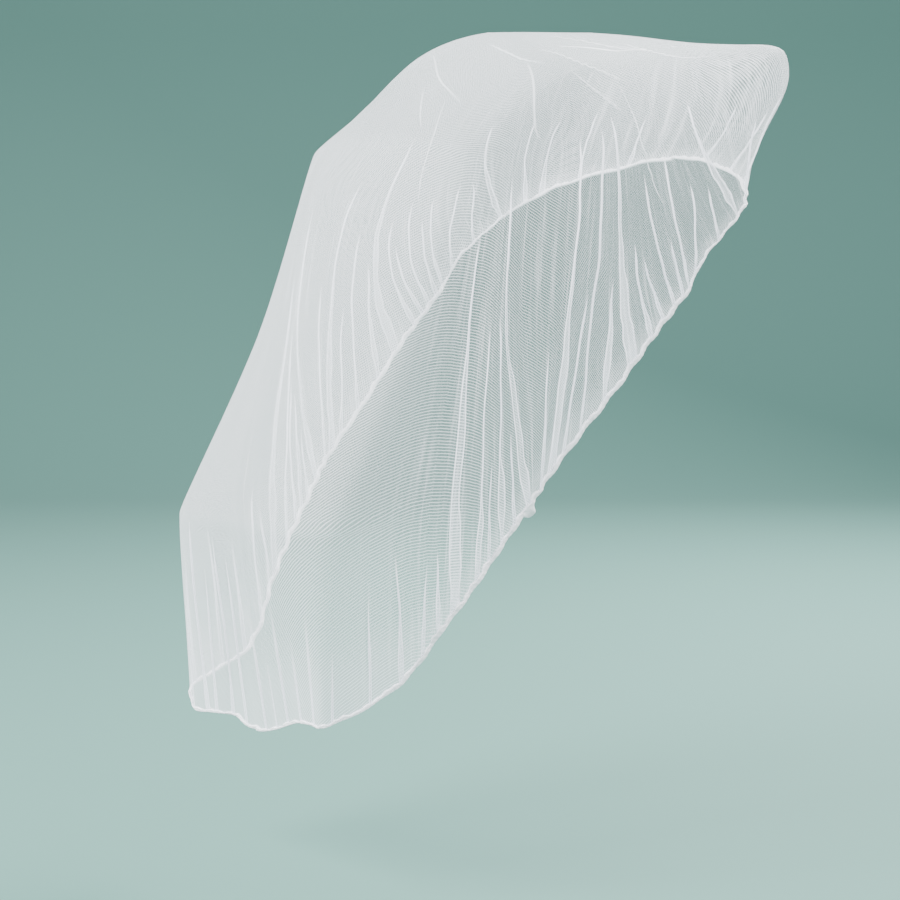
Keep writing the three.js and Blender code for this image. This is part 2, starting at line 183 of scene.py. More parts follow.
PLEATS = (
    Pleat(0.012, 0.012, 4.45, 4.70, 3.0, 1.0, 4.2, 4.5),
    Pleat(0.028, 0.028, 4.60, 4.80, 3.5, 1.0, 4.1, 6.0),
    Pleat(0.046, 0.046, 4.40, 4.70, 3.0, 1.0, 4.3, 5.0),
    Pleat(0.068, 0.068, 4.55, 4.75, 4.0, 1.0, 4.0, 7.0),
    Pleat(0.090, 0.090, 4.45, 4.75, 3.5, 1.0, 4.4, 5.0),
    Pleat(0.118, 0.118, 4.60, 4.80, 3.0, 1.0, 4.3, 6.0),
    Pleat(0.146, 0.146, 4.40, 4.60, 5.0, 0.8, 4.2, 7.0),
    Pleat(0.173, 0.170, 4.20, 4.60, 8.0, 0.9, 4.3, 6.0),
    Pleat(0.203, 0.208, 4.30, 4.60, 7.0, 0.8, 3.9, 9.0),
    Pleat(0.232, 0.224, 4.20, 4.50, 8.0, 0.7, 4.1, 8.0),
    Pleat(0.261, 0.230, 2.35, 2.90, 24.0, 0.6, 2.6, 17.0),
    Pleat(0.300, 0.308, 2.90, 4.10, 15.0, 0.5, 3.0, 10.0),
    Pleat(0.324, 0.326, 3.90, 4.40, 7.0, 0.7, 3.4, 6.0),
    Pleat(0.349, 0.352, 2.90, 3.90, 18.0, 0.4, 3.6, 13.0),
    Pleat(0.374, 0.372, 3.90, 4.50, 6.0, 0.8, 4.1, 8.0),
    Pleat(0.405, 0.350, 2.00, 2.50, 23.0, 0.3, 2.2, 18.0),
    Pleat(0.444, 0.440, 3.70, 4.30, 7.0, 0.8, 3.2, 9.0),
    Pleat(0.472, 0.474, 1.90, 3.20, 16.0, 0.8, 2.4, 14.0),
    Pleat(0.494, 0.510, 3.60, 4.70, 7.0, 1.0, 3.8, 7.0),
    Pleat(0.518, 0.540, 1.95, 4.60, 8.0, 0.7, 3.0, 9.0),
    Pleat(0.552, 0.576, 3.60, 3.90, 17.0, 0.6, 3.4, 10.0),
    Pleat(0.601, 0.590, 1.85, 2.30, 22.0, 0.8, 2.0, 18.0),
    Pleat(0.640, 0.632, 3.30, 4.20, 9.0, 0.7, 2.9, 10.0),
    Pleat(0.670, 0.652, 3.60, 4.30, 6.0, 0.8, 3.4, 7.0),
    Pleat(0.694, 0.682, 2.60, 4.40, 7.0, 0.6, 2.8, 9.0),
    Pleat(0.709, 0.716, 3.70, 4.40, 5.0, 0.7, 3.3, 8.0),
    Pleat(0.722, 0.744, 2.50, 4.20, 7.0, 0.6, 3.0, 8.0),
    Pleat(0.736, 0.784, 3.30, 4.30, 5.0, 0.7, 3.2, 7.0),
    Pleat(0.782, 0.806, 3.70, 4.50, 6.0, 0.9, 3.4, 6.0),
    Pleat(0.826, 0.817, 1.95, 2.70, 13.0, 0.4, 2.2, 10.0),
    Pleat(0.866, 0.866, 3.40, 4.20, 6.0, 1.0, 3.1, 7.0),
    Pleat(0.900, 0.900, 3.20, 4.20, 8.0, 0.9, 3.4, 9.0),
    Pleat(0.934, 0.934, 3.50, 4.40, 7.0, 0.9, 3.2, 6.0),
    Pleat(0.968, 0.968, 3.30, 4.30, 8.0, 0.9, 3.5, 7.0),
)

CREASES = (
    Crease((0.606, 0.39), (0.780, 0.86), 4.0, 2.2),
    Crease((0.560, 0.75), (0.766, 0.81), 4.5, 2.0),
    Crease((0.423, 0.77), (0.690, 1.45), 4.0, 2.4),
    Crease((0.501, 1.22), (0.629, 1.94), 3.5, 1.8),
    Crease((0.566, 1.56), (0.637, 1.94), 3.0, 2.0),
    Crease((0.661, 1.50), (0.720, 3.20), 3.2, 2.6),
    Crease((0.740, 0.55), (0.850, 1.30), 4.0, 2.0),
    Crease((0.300, 0.90), (0.420, 1.80), 4.5, 1.2),
    Crease((0.590, 0.45), (0.790, 0.90), 4.5, 2.2, Side.FAR),
    Crease((0.440, 0.80), (0.680, 1.55), 4.0, 2.0, Side.FAR),
    Crease((0.630, 1.50), (0.700, 3.00), 3.5, 2.4, Side.FAR),
    Crease((0.520, 1.30), (0.600, 1.95), 3.5, 1.6, Side.FAR),
)


def ease(low: float, high: float, value: np.ndarray | float) -> np.ndarray:
    """Smooth step from 0 at low to 1 at high.

    Args:
        low: Where the step starts.
        high: Where it ends.
        value: The values to map.

    Returns:
        The eased values.
    """
    part = np.clip((np.asarray(value, float) - low) / (high - low), 0.0, 1.0)
    return part * part * (3.0 - 2.0 * part)


def unit(vectors: np.ndarray) -> np.ndarray:
    """Rows of vectors scaled to length 1."""
    return vectors / np.maximum(np.linalg.norm(vectors, axis=-1, keepdims=True), 1e-12)


def joined(near: np.ndarray, far: np.ndarray, axis: int = 1) -> np.ndarray:
    """Joins the columns of both halves to one round.

    Args:
        near: The near half's columns, from the front to the back.
        far: The far half's; they follow on the way back, without the two that the halves share.
        axis: Which axis the columns are.

    Returns:
        The whole round, open at the front.
    """
    way_back = np.flip(far, axis).take(np.arange(1, far.shape[axis] - 1), axis)
    return np.concatenate([near, way_back], axis=axis)


@dataclass
class HangingShape:
    """The smooth sheet without its pleats, as a function of s round it and t down it."""

    lines: tuple[ClothLine, ...] = LINES
    far_shifts: tuple[FarShift, ...] = FAR_SHIFTS
    # How crisp the cloth bends over a ring, 0 soft to 1 sharp: in front, and on the sides.
    front_crisp: dict[Ring, float] = field(default_factory=lambda: {Ring.RIM: 0.78, Ring.KNEE: 0.8})
    side_crisp: dict[Ring, float] = field(default_factory=lambda: {Ring.RIM: 0.1, Ring.KNEE: 0.05})
    front_end: float = 0.13         # place s where the front ends
    side_start: float = 0.24        # place s where the side begins

    def __post_init__(self) -> None:
        """Lays out the knots, with a mirrored one past each end."""
        points = np.array([line.points() for line in self.lines])
        flip = np.array([-1.0, 1.0, 1.0])
        marks = np.array([line.s for line in self.lines])
        self._knots = np.concatenate([[-marks[1]], marks, [2.0 - marks[-2]]])
        self._values = np.concatenate([points[1:2] * flip, points, points[-2:-1] * flip])

    def _rings(self, s: np.ndarray, side: Side) -> np.ndarray:
        """The six ring points at each s.

        Args:
            s: Places round the half sheet.
            side: Which half.

        Returns:
            Array of shape (len(s), 6, 3), x outward.
        """
        knots, values = self._knots, self._values
        k = np.clip(np.searchsorted(knots, s, side="right") - 1, 1, len(knots) - 3)
        span = (knots[k + 1] - knots[k])[:, None, None]
        part = ((s - knots[k]) / (knots[k + 1] - knots[k]))[:, None, None]
        slope_a = (values[k + 1] - values[k - 1]) / (knots[k + 1] - knots[k - 1])[:, None, None]
        slope_b = (values[k + 2] - values[k]) / (knots[k + 2] - knots[k])[:, None, None]
        out = self._blend(values[k], values[k + 1], slope_a, slope_b, span, part)
        if side is Side.FAR:
            for row in self.far_shifts:
                share = 1.0 - ease(0.0, row.reach, np.abs(s - row.s))
                out[:, row.ring.value] += share[:, None] * np.array(row.by)
        return out

    @staticmethod
    def _blend(a: np.ndarray, b: np.ndarray, slope_a: np.ndarray, slope_b: np.ndarray,
               span: np.ndarray, part: np.ndarray) -> np.ndarray:
        """Cubic between two rows of points.

        Args:
            a: Where it starts.
            b: Where it ends.
            slope_a: Its slope at a.
            slope_b: Its slope at b.
            span: Length from a to b in the unit of the slopes.
            part: How far along, 0 to 1.

        Returns:
            The points on it.
        """
        square, cube = part * part, part * part * part
        return ((2 * cube - 3 * square + 1) * a + (cube - 2 * square + part) * span * slope_a
                + (3 * square - 2 * cube) * b + (cube - square) * span * slope_b)

    def point(self, s: np.ndarray, t: np.ndarray, side: Side) -> np.ndarray:
        """Points of the smooth sheet.

        Args:
            s: Places round the half sheet, also a little past 0 and 1.
            t: Places down it, 0 at the top and 5 at the hem.
            side: Which half.

        Returns:
            Points as rows, with x outward.
        """
        over = (s < 0.0) | (s > 1.0)
        here = np.where(s < 0.0, -s, np.where(s > 1.0, 2.0 - s, s))
        rings = self._rings(here, side)
        steps = np.linalg.norm(np.diff(rings, axis=1), axis=2)
        slopes = self._slopes(rings, steps, here)
        k = np.clip(np.floor(t).astype(int), 0, 4)
        rows = np.arange(len(here))
        out = self._blend(rings[rows, k], rings[rows, k + 1], slopes[rows, k], slopes[rows, k + 1],
                          steps[rows, k][:, None], (t - k)[:, None])
        out[over, 0] *= -1.0
        return out

    def _slopes(self, rings: np.ndarray, steps: np.ndarray, s: np.ndarray) -> np.ndarray:
        """Direction of the cloth line through each ring, shortened where it bends crisp.

        Args:
            rings: Ring points of each line.
            steps: Distances between them.
            s: The lines' places.

        Returns:
            Array of the shape of `rings`.
        """
        slopes = np.empty_like(rings)
        slopes[:, 1:-1] = (rings[:, 2:] - rings[:, :-2]) / (steps[:, 1:] + steps[:, :-1])[:, :, None]
        slopes[:, 0] = (rings[:, 1] - rings[:, 0]) / steps[:, :1]
        slopes[:, -1] = (rings[:, -1] - rings[:, -2]) / steps[:, -1:]
        level = ease(0.05, 0.3, s) * (1.0 - ease(0.93, 1.0, s))
        straight = ease(0.45, 0.62, s) * (1.0 - ease(0.9, 1.0, s))
        slopes[:, 0, 1] *= 1.0 - straight
        slopes[:, 0, 2] *= 1.0 - 0.85 * level
        turned = ease(self.front_end, self.side_start, s)
        for ring, crisp in self.front_crisp.items():
            amount = crisp * (1.0 - turned) + self.side_crisp[ring] * turned
            slopes[:, ring.value] *= (1.0 - amount)[:, None]
        return slopes

    def frame(self, s: np.ndarray, t: np.ndarray, side: Side) -> tuple[np.ndarray, np.ndarray]:
        """Outward normal of each place, and mm for one unit of s.

        Args:
            s: Places round the half sheet.
            t: Places down it.
            side: Which half.

        Returns:
            The normals as rows, and the stretch of each place.
        """
        low = np.maximum(t, 0.05)
        across = self.point(s + 0.004, low, side) - self.point(s - 0.004, low, side)
        down = self.point(s, np.minimum(low + 0.03, 5.0), side) - self.point(s, low - 0.03, side)
        stretch = np.linalg.norm(across, axis=1) / 0.008
        return unit(np.cross(unit(down), unit(across))), stretch


def billow(s: np.ndarray, t: np.ndarray, side: Side, gather: float = 1.7,
           step: float = 42.0) -> np.ndarray:
    """Slow unevenness of the cloth and the gathers that the elastic makes, in mm outward.

    Args:
        s: Places round the half sheet.
        t: Places down it.
        side: Which half.
        gather: Height of a gather at the hem, mm.
        step: Length of one gather, mm.

    Returns:
        Distance out of the smooth sheet, mm.
    """
    phase = float(side.value)
    swell = 1.6 * np.sin(23 * s + 1.3 * phase) + 1.1 * np.sin(41 * s + 2.1 + 0.6 * phase)
    waves = gather * np.sin(2 * math.pi * HALF_HEM * s / step + 0.9 * phase)
    return swell * ease(2.2, 5.0, t) * ease(0.1, 0.2, s) + waves * ease(4.35, 5.0, t)


def srgb(code: str) -> tuple[float, float, float, float]:
    """Linear colour of an sRGB hex code.

    Args:
        code: The code, such as '#F2F3FA'.

    Returns:
        Red, green, blue and 1.
    """
    parts = [int(code[k:k + 2], 16) / 255.0 for k in (1, 3, 5)]
    lin = [c / 12.92 if c <= 0.04045 else ((c + 0.055) / 1.055) ** 2.4 for c in parts]
    return (*lin, 1.0)


class Graph:
    """A material's nodes."""

    def __init__(self, name: str) -> None:
        """Makes a material without any node.

        Args:
            name: Its name.
        """
        self._material = bpy.data.materials.new(name)
        self._material.use_nodes = True
        self._tree = self._material.node_tree
        self._tree.nodes.clear()

    def add(self, kind: str, inputs: dict[str | int, object] | None = None,
            **settings: object) -> bpy.types.Node:
        """Adds a node with its settings and its inputs.

        Args:
            kind: Node type name without its ShaderNode.
            inputs: Socket name or number to a value, or to an output socket to link.
            **settings: Node properties.

        Returns:
            The new node.
        """
        node = self._tree.nodes.new("ShaderNode" + kind)
        for name, value in settings.items():
            setattr(node, name, value)
        for name, value in (inputs or {}).items():
            if isinstance(value, Socket):
                self._tree.links.new(value, node.inputs[name])
            else:
                node.inputs[name].default_value = value
        return node

    def maths(self, operation: str, *values: Socket | float, **settings: object) -> Socket:
        """The result of a math node on values or sockets."""
        return self.add("Math", dict(enumerate(values)), operation=operation, **settings).outputs[0]

    def scaled(self, place: Socket, scale: Triple) -> Socket:
        """A place multiplied by a factor on each axis."""
        return self.add("VectorMath", {0: place, 1: scale}, operation="MULTIPLY").outputs[0]

    def ranged(self, value: Socket, source: Pair, target: tuple[Socket | float, Socket | float],
               kind: str = "LINEAR") -> Socket:
        """Maps one range to another.

        Args:
            value: What is mapped.
            source: The range that it is taken from.
            target: What the two ends of that range become.
            kind: How it runs between them.

        Returns:
            The result's socket.
        """
        names = ("Value", "From Min", "From Max", "To Min", "To Max")
        inputs = dict(zip(names, (value, *source, *target)))
        return self.add("MapRange", inputs, interpolation_type=kind).outputs[0]

    def map(self, name: str) -> Socket:
        """The place on one of the mesh's UV maps."""
        return self.add("UVMap", uv_map=name).outputs["UV"]

    def mark(self, name: str, output: str = "Fac") -> Socket:
        """One of the mesh's marks."""
        return self.add("Attribute", attribute_name=name).outputs[output]

    def finish(self, shader: bpy.types.Node) -> bpy.types.Material:
        """Links the shader to the surface and returns the material."""
        self.add("OutputMaterial", {"Surface": shader.outputs[0]})
        return self._material


@dataclass(frozen=True)
class KnittedNetting:
    """Warp-knitted polyester netting: white filament yarn, sheer, with a slight cool cast.

    The open mesh shows what is behind it, and each further layer of cloth looks whiter.
    """

    name: str = "netting"
    yarn_hex: str = "#F3F4FA"
    roughness: float = 0.62
    # Real mesh about 1.6 mm; drawn at 3.1 mm, since at 0.8 pixels a mm the real one is too fine.
    mesh_mm: float = 3.1
    yarn_share: float = 0.24        # yarn width over mesh size, along the stronger threads
    cross_share: float = 0.08       # the same, along the weaker threads
    lean_deg: float = -42.0         # slope of the stronger threads
    cross_deg: float = 48.0
    film: float = 0.05              # cover of the fine filaments inside the mesh
    front_film_and_painted_light: float = 0.17         # the same at the front and the top: partly the denser look of cloth seen slanting, partly painted light for the strongly lit front
    crease_edges: Pair = (0.5, 0.15)    # widths off its middle where a crease begins and is full
    crease_cover: float = 0.9       # how far a pressed crease closes the mesh
    turn_cover: float = 0.95        # the same, at the turned edge of a pleat
    turn_mm: float = 1.7            # how far in from the turned edge that reaches
    yarn: float = 0.68              # cover of a thread
    full: float = 0.96              # cover where the mesh is closed
    streak_mm: float = 6.0          # spacing of the fine bunched streaks
    streak_long_mm: float = 190.0   # their length
    streak_band: Pair = (0.50, 0.72)    # noise values from which a streak begins and is full
    streak_cover: float = 0.40      # how much a streak closes the mesh
    translucency: float = 0.4       # light that comes through a thread

    def _threads(self, graph: Graph, place: Socket, degrees: float, share: float) -> Socket:
        """Draws one family of parallel threads.

        Args:
            graph: The material's nodes.
            place: Place on the flat cloth.
            degrees: Slope of the threads.
            share: Their width over the mesh size.

        Returns:
            1 on a thread and 0 between.
        """
        angle = math.radians(degrees)
        per_metre = 1000.0 / self.mesh_mm
        normal = (math.sin(angle) * per_metre, math.cos(angle) * per_metre, 0.0)
        along = graph.add("VectorMath", {0: place, 1: normal}, operation="DOT_PRODUCT")
        wave = graph.maths("PINGPONG", along.outputs["Value"], 0.5)
        return graph.maths("LESS_THAN", wave, 0.5 * share)

    @staticmethod
    def _closed_line(graph: Graph, away: Socket, edges: Pair, cover: float, weight: Socket,
                     so_far: Socket) -> Socket:
        """Closes the mesh along a line.

        Args:
            graph: The material's nodes.
            away: Distance from the line.
            edges: Distances at which it begins to close and is closed.
            cover: How far it closes.
            weight: How much of the line is there.
            so_far: How closed it is without the line.

        Returns:
            How closed it is with the line.
        """
        line = graph.ranged(away, edges, (0.0, cover), "SMOOTHSTEP")
        return graph.maths("MAXIMUM", graph.maths("MULTIPLY", line, weight), so_far)

    def _closed(self, graph: Graph) -> Socket:
        """Where folds and the hem close the mesh.

        Args:
            graph: The material's nodes.

        Returns:
            0 where the mesh is open to 1 where it is closed.
        """
        closed = graph.mark("dense")
        # The two turned edges of a pleat, where the cloth is seen along its face.
        across, half, weight = graph.add("SeparateXYZ", {0: graph.mark("pleat", "Vector")}).outputs
        away = graph.maths("SUBTRACT", graph.maths("ABSOLUTE", across), 1.0)
        away_mm = graph.maths("ABSOLUTE", graph.maths("MULTIPLY", away, half))
        edges = (self.turn_mm, 0.4 * self.turn_mm)
        closed = self._closed_line(graph, away_mm, edges, self.turn_cover, weight, closed)
        for bank in range(CREASE_BANKS):
            mark = graph.mark(f"crease_{bank}", "Vector")
            across, weight, _ = graph.add("SeparateXYZ", {0: mark}).outputs
            away = graph.maths("ABSOLUTE", across)
            closed = self._closed_line(graph, away, self.crease_edges, self.crease_cover, weight,
                                       closed)
        return closed

    def build(self) -> bpy.types.Material:
        """Makes the material.

        Returns:
            The netting material, see-through between its threads.
        """
        graph = Graph(self.name)
        scales = (1000.0 / self.streak_mm, 1000.0 / self.streak_long_mm, 1.0)
        noise = graph.add("TexNoise", {"Vector": graph.scaled(graph.map("ribs"), scales),
                                       "Scale": 1.0, "Detail": 3.0, "Roughness": 0.62})
        streaks = graph.ranged(noise.outputs["Fac"], self.streak_band, (0.0, self.streak_cover))
        cloth, slack = graph.map("cloth"), graph.mark("slack")
        strong = self._threads(graph, cloth, self.lean_deg, self.yarn_share)
        weak = self._threads(graph, cloth, self.cross_deg, self.cross_share)
        threads = graph.maths("MAXIMUM", strong, weak)
        # The film is raised where slack is 0, at the front and the top: partly painted light for the
        # strongly lit front.
        film = graph.ranged(slack, (0.0, 1.0), (self.front_film_and_painted_light, self.film))
        open_cover = graph.ranged(threads, (0.0, 1.0), (film, self.yarn))
        bunched = graph.maths("MULTIPLY", streaks, slack)
        more = graph.maths("ADD", bunched, self._closed(graph), use_clamp=True)
        cover = graph.ranged(more, (0.0, 1.0), (open_cover, self.full))
        relief = graph.add("Bump", {"Strength": 0.25, "Distance": 0.0015,
                                    "Height": noise.outputs["Fac"]})
        yarn = graph.add("BsdfPrincipled", {
            "Base Color": srgb(self.yarn_hex), "Roughness": self.roughness,
            "Normal": relief.outputs[0], "Sheen Weight": 0.25, "Sheen Roughness": 0.4})
        through = graph.add("BsdfTranslucent", {"Color": srgb(self.yarn_hex),
                                                "Normal": relief.outputs[0]})
        body = graph.add("MixShader", {0: self.translucency, 1: yarn.outputs[0],
                                       2: through.outputs[0]})
        clear = graph.add("BsdfTransparent")
        return graph.finish(graph.add("MixShader", {0: cover, 1: clear.outputs[0],
                                                    2: body.outputs[0]}))


@dataclass(frozen=True)
class ElasticTape:
    """Soft polyester binding tape gathered on its elastic: matt white, close ribs across, with painted
    shade in the hollows between the ribs.
    """

    name: str = "elastic_tape"
    tape_hex: str = "#F6F6F9"
    # The second, darker colour is painted shade, laid into the hollows between the ribs.
    rib_hollow_shade_hex: str = "#D9DBE2"
    roughness: float = 0.78
    rib_mm: float = 1.1             # spacing of the ribs knitted across the tape
    grain_mm: float = 5.0           # length of the unevenness along a rib
    wave_scale: float = 0.32        # scale at which the wave texture draws one rib to a unit

    def build(self) -> bpy.types.Material:
        """Makes the material.

        Returns:
            The matt tape material.
        """
        graph = Graph(self.name)
        scales = (1000.0 / self.rib_mm, 1000.0 / self.grain_mm, 1.0)
        ribs = graph.add("TexWave", {"Vector": graph.scaled(graph.map("ribs"), scales),
                                     "Scale": self.wave_scale, "Distortion": 1.2, "Detail": 1.0})
        # Mixes towards the darker colour between the ribs: painted shade in their hollows, beside the
        # bump.
        painted_rib_shading = graph.add("Mix", {"Factor": ribs.outputs["Fac"], 6: srgb(self.rib_hollow_shade_hex),
                                 7: srgb(self.tape_hex)}, data_type="RGBA")
        relief = graph.add("Bump", {"Strength": 0.5, "Distance": 0.0006,
                                    "Height": ribs.outputs["Fac"]})
        return graph.finish(graph.add("BsdfPrincipled", {
            "Base Color": painted_rib_shading.outputs[2], "Roughness": self.roughness,
            "Normal": relief.outputs[0], "Sheen Weight": 0.2}))


@dataclass(frozen=True)
class MattPaint:
    """Matt emulsion on a studio floor: even, with a faint roller texture."""

    name: str = "studio_paint"
    paint_hex: str = "#40655E"
    roughness: float = 0.85
    stipple_mm: float = 6.0

    def build(self) -> bpy.types.Material:
        """Makes the material.

        Returns:
            The floor's paint.
        """
        graph = Graph(self.name)
        place = graph.add("TexCoord").outputs["Object"]
        stipple = graph.add("TexNoise", {"Vector": place, "Scale": 1000.0 / self.stipple_mm,
                                         "Detail": 2.0})
        relief = graph.add("Bump", {"Strength": 0.05, "Distance": 0.001,
                                    "Height": stipple.outputs["Fac"]})
        return graph.finish(graph.add("BsdfPrincipled", {
            "Base Color": srgb(self.paint_hex), "Roughness": self.roughness,
            "Normal": relief.outputs[0]}))


def make_object(name: str, points: np.ndarray, faces: np.ndarray, maps: dict[str, np.ndarray],
                material: bpy.types.Material) -> bpy.types.Object:
    """Makes a smooth mesh object.

    Args:
        name: Name of the piece.
        points: Points in mm, measured like the tables.
        faces: Corner numbers, four to a row.
        maps: UV map name to one (u, v) in metres for each corner of each face.
        material: What it is made of.

    Returns:
        The new object, in the row frame and in metres.
    """
    mesh = bpy.data.meshes.new(name)
    mesh.from_pydata(((points - HOLD) * MM).tolist(), [], faces.tolist())
    for title, values in maps.items():
        layer = mesh.uv_layers.new(name=title)
        layer.data.foreach_set("uv", values.astype(np.float32).ravel())
    mesh.polygons.foreach_set("use_smooth", np.ones(len(faces), bool))
    mesh.materials.append(material)
    mesh.update()
    obj = bpy.data.objects.new(name, mesh)
    bpy.context.scene.collection.objects.link(obj)
    return obj


@dataclass(frozen=True)
class Half:
    """One half of the sheet, rows by columns."""

    points: np.ndarray
    place: np.ndarray   # s of each point
    turns: np.ndarray   # place across the pleat and its half width, mm, and how far it is folded
    marks: np.ndarray   # the same for the creases, one bank after the other


@dataclass
class NetSheet:
    """The netting itself: one sheet with its flat pleats, gathers and soft creases."""

    shape: HangingShape
    pleats: tuple[Pleat, ...] = PLEATS
    creases: tuple[Crease, ...] = CREASES
    plain_step: float = 0.0047      # spacing of the columns between pleats, share of half the hem
    thin: float = 2.0               # width of a pleat above where it opens, mm
    stray: float = 1.4              # how far a pleat wanders sideways, mm
    # The share of that which it keeps, by its place s at the hem.
    calm: tuple[Pair, ...] = ((0.0, 0.35), (0.12, 0.35), (0.16, 1.0), (0.58, 1.0), (0.66, 0.45),
                              (1.0, 0.45))
    stray_room: float = 0.22        # share of the gap beside it over which it may wander
    width_room: float = 0.44        # share of that gap that its own half may fill
    spacing: float = 0.010          # least distance between two pleats, share of half the hem
    uneven: float = 0.16            # share by which its width changes on the way down
    grasp: float = 22.0             # how far a crease reaches, mm
    hem_cover: float = 0.22         # how much the gathers at the hem close the mesh
    layer_gap: float = 1.1          # mm between the layers of a pleat
    pressed_gap: float = 0.22       # the same inside the binding
    edge: float = 1.3               # a pleat's columns reach this many half widths out
    layer_shift: float = 3.4        # mm by which the threads of its layers are out of step
    # Across a pleat: place in half widths while flat, place once folded, height in layers, and
    # the share of `layer_shift`.
    section: tuple[Quad, ...] = (
        (-1.20, -1.22, 0.0, 0.0), (-0.95, -0.94, 0.8, 0.0), (-0.62, 0.82, 1.0, 0.0),
        (-0.35, 1.00, 0.5, 0.2), (-0.10, 0.84, 0.0, 0.41), (0.10, -0.84, 0.0, 0.41),
        (0.35, -1.00, -0.5, 0.6), (0.62, -0.82, -1.0, 0.77), (0.95, 0.94, -0.8, 0.77),
        (1.20, 1.22, 0.0, 0.0),
    )

    def _columns(self) -> tuple[np.ndarray, np.ndarray, np.ndarray]:
        """The half sheet's columns: place between pleats, number of the pleat, mark in it.

        Returns:
            For a plain column its share of the way from the pleat before to the next one, the
            number of the next pleat and -1; for a pleated one 0, its pleat and its mark.
        """
        shares, owners, marks = [], [], []
        stops = [0.0] + [pleat.s for pleat in self.pleats] + [1.0]
        for number, (low, high) in enumerate(zip(stops[:-1], stops[1:])):
            if number:
                shares += [0.0] * len(self.section)
                owners += [number - 1] * len(self.section)
                marks += list(range(len(self.section)))
            count = max(2, round((high - low) / self.plain_step))
            first = 0 if number == 0 else 1
            shares += [k / count for k in range(first, count)]
            owners += [number] * (count - first)
            marks += [-1] * (count - first)
        return np.array(shares + [1.0]), np.array(owners + [len(self.pleats)]), np.array(marks + [-1])

    @staticmethod
    def _rows() -> np.ndarray:
        """Spaces the rows, closer where the cloth bends.

        Returns:
            Their places t.
        """
        bands = ((0.0, 1.0, 18), (1.0, 1.85, 14), (1.85, 2.15, 6), (2.15, 3.8, 20), (3.8, 4.15, 7),
                 (4.15, 4.8, 13), (4.8, 5.0, 7))
        return np.concatenate([np.linspace(a, b, n, endpoint=False) for a, b, n in bands] + [[5.0]])

    def _width(self, pleat: Pleat, t: np.ndarray, side: Side) -> tuple[np.ndarray, np.ndarray]:
        """Width of a pleat, and how far it is folded.

        Args:
            pleat: The pleat.
            t: Places down it.
            side: Which half.

        Returns:
            At each place its width in mm, and 0 flat to 1 folded.
        """
        near = side is Side.NEAR
        head, widest = (pleat.head, pleat.width) if near else (pleat.far_head, pleat.far_width)
        opens = max(pleat.opens, head + 0.2)
        full = opens + 0.7 * (5.0 - opens)
        grown = 0.6 * ease(opens, full, t) + 0.4 * np.clip((t - opens) / (full - opens), 0.0, 1.0)
        kept = 1.0 - (1.0 - pleat.foot) * ease(4.35, 5.0, t)
        slow, quick = np.sin(7.9 * t + 119.0 * pleat.s), np.sin(17.3 * t + 61.0 * pleat.s)
        swell = 1.0 + self.uneven * (slow + 0.6 * quick)
        return self.thin + (widest - self.thin) * grown * kept * swell, ease(head, head + 0.35, t)

    def _anchors(self, rows: np.ndarray,
                 side: Side) -> tuple[np.ndarray, np.ndarray, np.ndarray, np.ndarray]:
        """Where the pleats stand.

        Args:
            rows: The rows' t.
            side: Which half.

        Returns:
            Their s, half width in s, how far folded, and width in mm, each rows by pleats.
        """
        spots, widths, folded = [], [], []
        for pleat in self.pleats:
            width, fold = self._width(pleat, rows, side)
            share = np.clip((rows - pleat.head) / (5.0 - pleat.head), 0.0, 1.0)
            foot = pleat.s
            if side is Side.FAR:
                foot += (0.006 * math.sin(61 * pleat.s) + 0.004 * math.sin(23 * pleat.s + 1.0)) \
                    * min(1.0, pleat.s / 0.05, (1.0 - pleat.s) / 0.05)
            spots.append(pleat.head_s + (foot - pleat.head_s) * share)
            widths.append(width)
            folded.append(fold)
        spot, width, fold = (np.stack(values, axis=1) for values in (spots, widths, folded))
        for k in range(len(self.pleats) - 2, -1, -1):
            spot[:, k] = np.minimum(spot[:, k], spot[:, k + 1] - self.spacing)
        s, t = spot.ravel(), np.repeat(rows, len(self.pleats))
        stretch = np.maximum(self.shape.frame(s, t, side)[1], 60.0).reshape(spot.shape)
        number = np.arange(len(self.pleats)) + 7.0 * side.value
        turn = rows[:, None]
        wander = np.sin(4.7 * turn + 2.1 * number) + 0.55 * np.sin(10.9 * turn + 3.7 * number)
        calm = np.interp([pleat.s for pleat in self.pleats], *np.array(self.calm).T)
        quiet = (1.0 - ease(4.5, 4.9, turn)) * calm
        gap = np.diff(spot, axis=1, prepend=0.0, append=1.0)
        room = self.stray_room * np.minimum(gap[:, :-1], gap[:, 1:])
        spot = spot + np.clip(self.stray * wander * quiet / stretch, -room, room)
        gap = np.diff(spot, axis=1, prepend=0.0, append=1.0)
        free = np.minimum(gap[:, :-1], gap[:, 1:]) * self.width_room / self.edge
        return spot, np.minimum((width / 2.0 + 0.2) / stretch, free), fold, width

